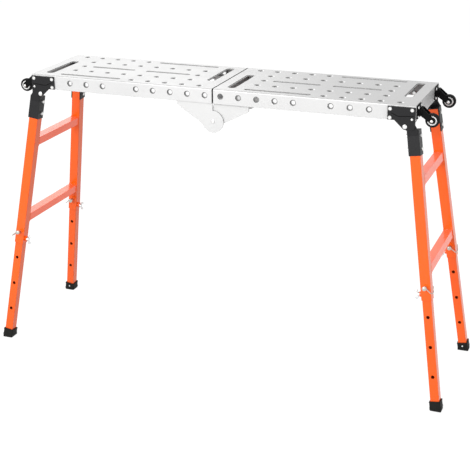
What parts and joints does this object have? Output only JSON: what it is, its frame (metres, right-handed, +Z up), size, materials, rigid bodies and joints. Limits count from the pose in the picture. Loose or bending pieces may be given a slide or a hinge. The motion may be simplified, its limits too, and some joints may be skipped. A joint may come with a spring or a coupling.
{
  "type": "folding work table",
  "caption": "Folding steel work table: two perforated trays hinged at the middle on splayed telescopic folding legs, with a swivel wheel at each deck corner.",
  "frame": {"origin": "middle of the floor under the opened table", "axes": "+X along the table, +Y to its back, +Z up"},
  "size_m": [1.4668, 0.4574, 0.88],
  "materials": {
    "silver_sheet": "satin silver-white powder coat",
    "black_plate": "satin black powder coat",
    "orange_tube": "gloss orange powder coat",
    "zinc": "bright zinc plate",
    "foot_rubber": "matte black rubber",
    "tyre_rubber": "matte black rubber",
    "white_rim": "white moulded plastic"
  },
  "bodies": {
    "left_table": {"left_tray": "silver_sheet", "left_braces": "silver_sheet", "left_front_hinge_plate": "silver_sheet", "left_back_hinge_plate": "silver_sheet", "hinge_bolts": "zinc", "left_front_bracket": "black_plate", "left_back_bracket": "black_plate", "left_fixings": "zinc", "left_pivot_pins": "zinc", "left_wheel_plates": "black_plate"},
    "right_table": {"right_tray": "silver_sheet", "right_braces": "silver_sheet", "right_front_hinge_plate": "silver_sheet", "right_back_hinge_plate": "silver_sheet", "right_front_bracket": "black_plate", "right_back_bracket": "black_plate", "right_fixings": "zinc", "right_pivot_pins": "zinc", "right_wheel_plates": "black_plate"},
    "left_legs": {"left_front_socket": "black_plate", "left_back_socket": "black_plate", "left_socket_bolts": "zinc", "left_front_outer_leg": "orange_tube", "left_back_outer_leg": "orange_tube", "left_rungs": "orange_tube"},
    "right_legs": {"right_front_socket": "black_plate", "right_back_socket": "black_plate", "right_socket_bolts": "zinc", "right_front_outer_leg": "orange_tube", "right_back_outer_leg": "orange_tube", "right_rungs": "orange_tube"},
    "left_front_inner_leg": {"left_front_inner_leg": "orange_tube", "left_front_foot": "foot_rubber"},
    "left_front_snap_pin": {"left_front_snap_pin": "zinc"},
    "left_front_wing_screw": {"left_front_wing_screw": "zinc"},
    "left_front_fork": {"left_front_fork": "black_plate"},
    "left_front_wheel": {"left_front_rim": "white_rim", "left_front_tyre": "tyre_rubber"},
    "left_back_inner_leg": {"left_back_inner_leg": "orange_tube", "left_back_foot": "foot_rubber"},
    "left_back_snap_pin": {"left_back_snap_pin": "zinc"},
    "left_back_wing_screw": {"left_back_wing_screw": "zinc"},
    "left_back_fork": {"left_back_fork": "black_plate"},
    "left_back_wheel": {"left_back_rim": "white_rim", "left_back_tyre": "tyre_rubber"},
    "right_front_inner_leg": {"right_front_inner_leg": "orange_tube", "right_front_foot": "foot_rubber"},
    "right_front_snap_pin": {"right_front_snap_pin": "zinc"},
    "right_front_wing_screw": {"right_front_wing_screw": "zinc"},
    "right_front_fork": {"right_front_fork": "black_plate"},
    "right_front_wheel": {"right_front_rim": "white_rim", "right_front_tyre": "tyre_rubber"},
    "right_back_inner_leg": {"right_back_inner_leg": "orange_tube", "right_back_foot": "foot_rubber"},
    "right_back_snap_pin": {"right_back_snap_pin": "zinc"},
    "right_back_wing_screw": {"right_back_wing_screw": "zinc"},
    "right_back_fork": {"right_back_fork": "black_plate"},
    "right_back_wheel": {"right_back_rim": "white_rim", "right_back_tyre": "tyre_rubber"}
  },
  "joints": [
    {"name": "centre_fold", "type": "hinge", "parent": "left_table", "child": "right_table", "pos_m": [0, 0, 0.7815], "axis": [0, 1, 0], "range_deg": [0, 75]},
    {"name": "left_leg_fold", "type": "hinge", "parent": "left_table", "child": "left_legs", "pos_m": [-0.572, 0, 0.82], "axis": [0, -1, 0], "range_deg": [0, 98.65]},
    {"name": "right_leg_fold", "type": "hinge", "parent": "right_table", "child": "right_legs", "pos_m": [0.572, 0, 0.82], "axis": [0, 1, 0], "range_deg": [0, 98.65]},
    {"name": "left_front_leg_slide", "type": "slide", "parent": "left_legs", "child": "left_front_inner_leg", "axis": [0.1497, 0.0983, 0.9838], "range_m": [0, 0.27]},
    {"name": "left_front_pin_push", "type": "slide", "parent": "left_legs", "child": "left_front_snap_pin", "axis": [-0.0148, 0.9952, -0.0972], "range_m": [0, 0.011]},
    {"name": "left_front_screw_turn", "type": "hinge", "parent": "left_legs", "child": "left_front_wing_screw", "pos_m": [-0.64375, -0.17762, 0.34017], "axis": [-0.9886, 0, 0.1504], "range_deg": [0, 720]},
    {"name": "left_front_swivel", "type": "hinge", "parent": "left_table", "child": "left_front_fork", "pos_m": [-0.609, -0.115, 0.858], "axis": [1, 0, 0], "continuous": true},
    {"name": "left_front_wheel_spin", "type": "hinge", "parent": "left_front_fork", "child": "left_front_wheel", "pos_m": [-0.6403, -0.115, 0.835], "axis": [0, 1, 0], "continuous": true},
    {"name": "left_back_leg_slide", "type": "slide", "parent": "left_legs", "child": "left_back_inner_leg", "axis": [0.1497, -0.0983, 0.9838], "range_m": [0, 0.27]},
    {"name": "left_back_pin_push", "type": "slide", "parent": "left_legs", "child": "left_back_snap_pin", "axis": [0.0148, 0.9952, 0.0972], "range_m": [0, 0.011]},
    {"name": "left_back_screw_turn", "type": "hinge", "parent": "left_legs", "child": "left_back_wing_screw", "pos_m": [-0.64375, 0.17762, 0.34017], "axis": [-0.9886, 0, 0.1504], "range_deg": [0, 720]},
    {"name": "left_back_swivel", "type": "hinge", "parent": "left_table", "child": "left_back_fork", "pos_m": [-0.609, 0.115, 0.858], "axis": [1, 0, 0], "continuous": true},
    {"name": "left_back_wheel_spin", "type": "hinge", "parent": "left_back_fork", "child": "left_back_wheel", "pos_m": [-0.6403, 0.115, 0.835], "axis": [0, 1, 0], "continuous": true},
    {"name": "right_front_leg_slide", "type": "slide", "parent": "right_legs", "child": "right_front_inner_leg", "axis": [-0.1497, 0.0983, 0.9838], "range_m": [0, 0.27]},
    {"name": "right_front_pin_push", "type": "slide", "parent": "right_legs", "child": "right_front_snap_pin", "axis": [0.0148, 0.9952, -0.0972], "range_m": [0, 0.011]},
    {"name": "right_front_screw_turn", "type": "hinge", "parent": "right_legs", "child": "right_front_wing_screw", "pos_m": [0.64375, -0.17762, 0.34017], "axis": [0.9886, 0, 0.1504], "range_deg": [0, 720]},
    {"name": "right_front_swivel", "type": "hinge", "parent": "right_table", "child": "right_front_fork", "pos_m": [0.609, -0.115, 0.858], "axis": [1, 0, 0], "continuous": true},
    {"name": "right_front_wheel_spin", "type": "hinge", "parent": "right_front_fork", "child": "right_front_wheel", "pos_m": [0.6403, -0.115, 0.835], "axis": [0, 1, 0], "continuous": true},
    {"name": "right_back_leg_slide", "type": "slide", "parent": "right_legs", "child": "right_back_inner_leg", "axis": [-0.1497, -0.0983, 0.9838], "range_m": [0, 0.27]},
    {"name": "right_back_pin_push", "type": "slide", "parent": "right_legs", "child": "right_back_snap_pin", "axis": [-0.0148, 0.9952, 0.0972], "range_m": [0, 0.011]},
    {"name": "right_back_screw_turn", "type": "hinge", "parent": "right_legs", "child": "right_back_wing_screw", "pos_m": [0.64375, 0.17762, 0.34017], "axis": [0.9886, 0, 0.1504], "range_deg": [0, 720]},
    {"name": "right_back_swivel", "type": "hinge", "parent": "right_table", "child": "right_back_fork", "pos_m": [0.609, 0.115, 0.858], "axis": [1, 0, 0], "continuous": true},
    {"name": "right_back_wheel_spin", "type": "hinge", "parent": "right_back_fork", "child": "right_back_wheel", "pos_m": [0.6403, 0.115, 0.835], "axis": [0, 1, 0], "continuous": true}
  ]
}
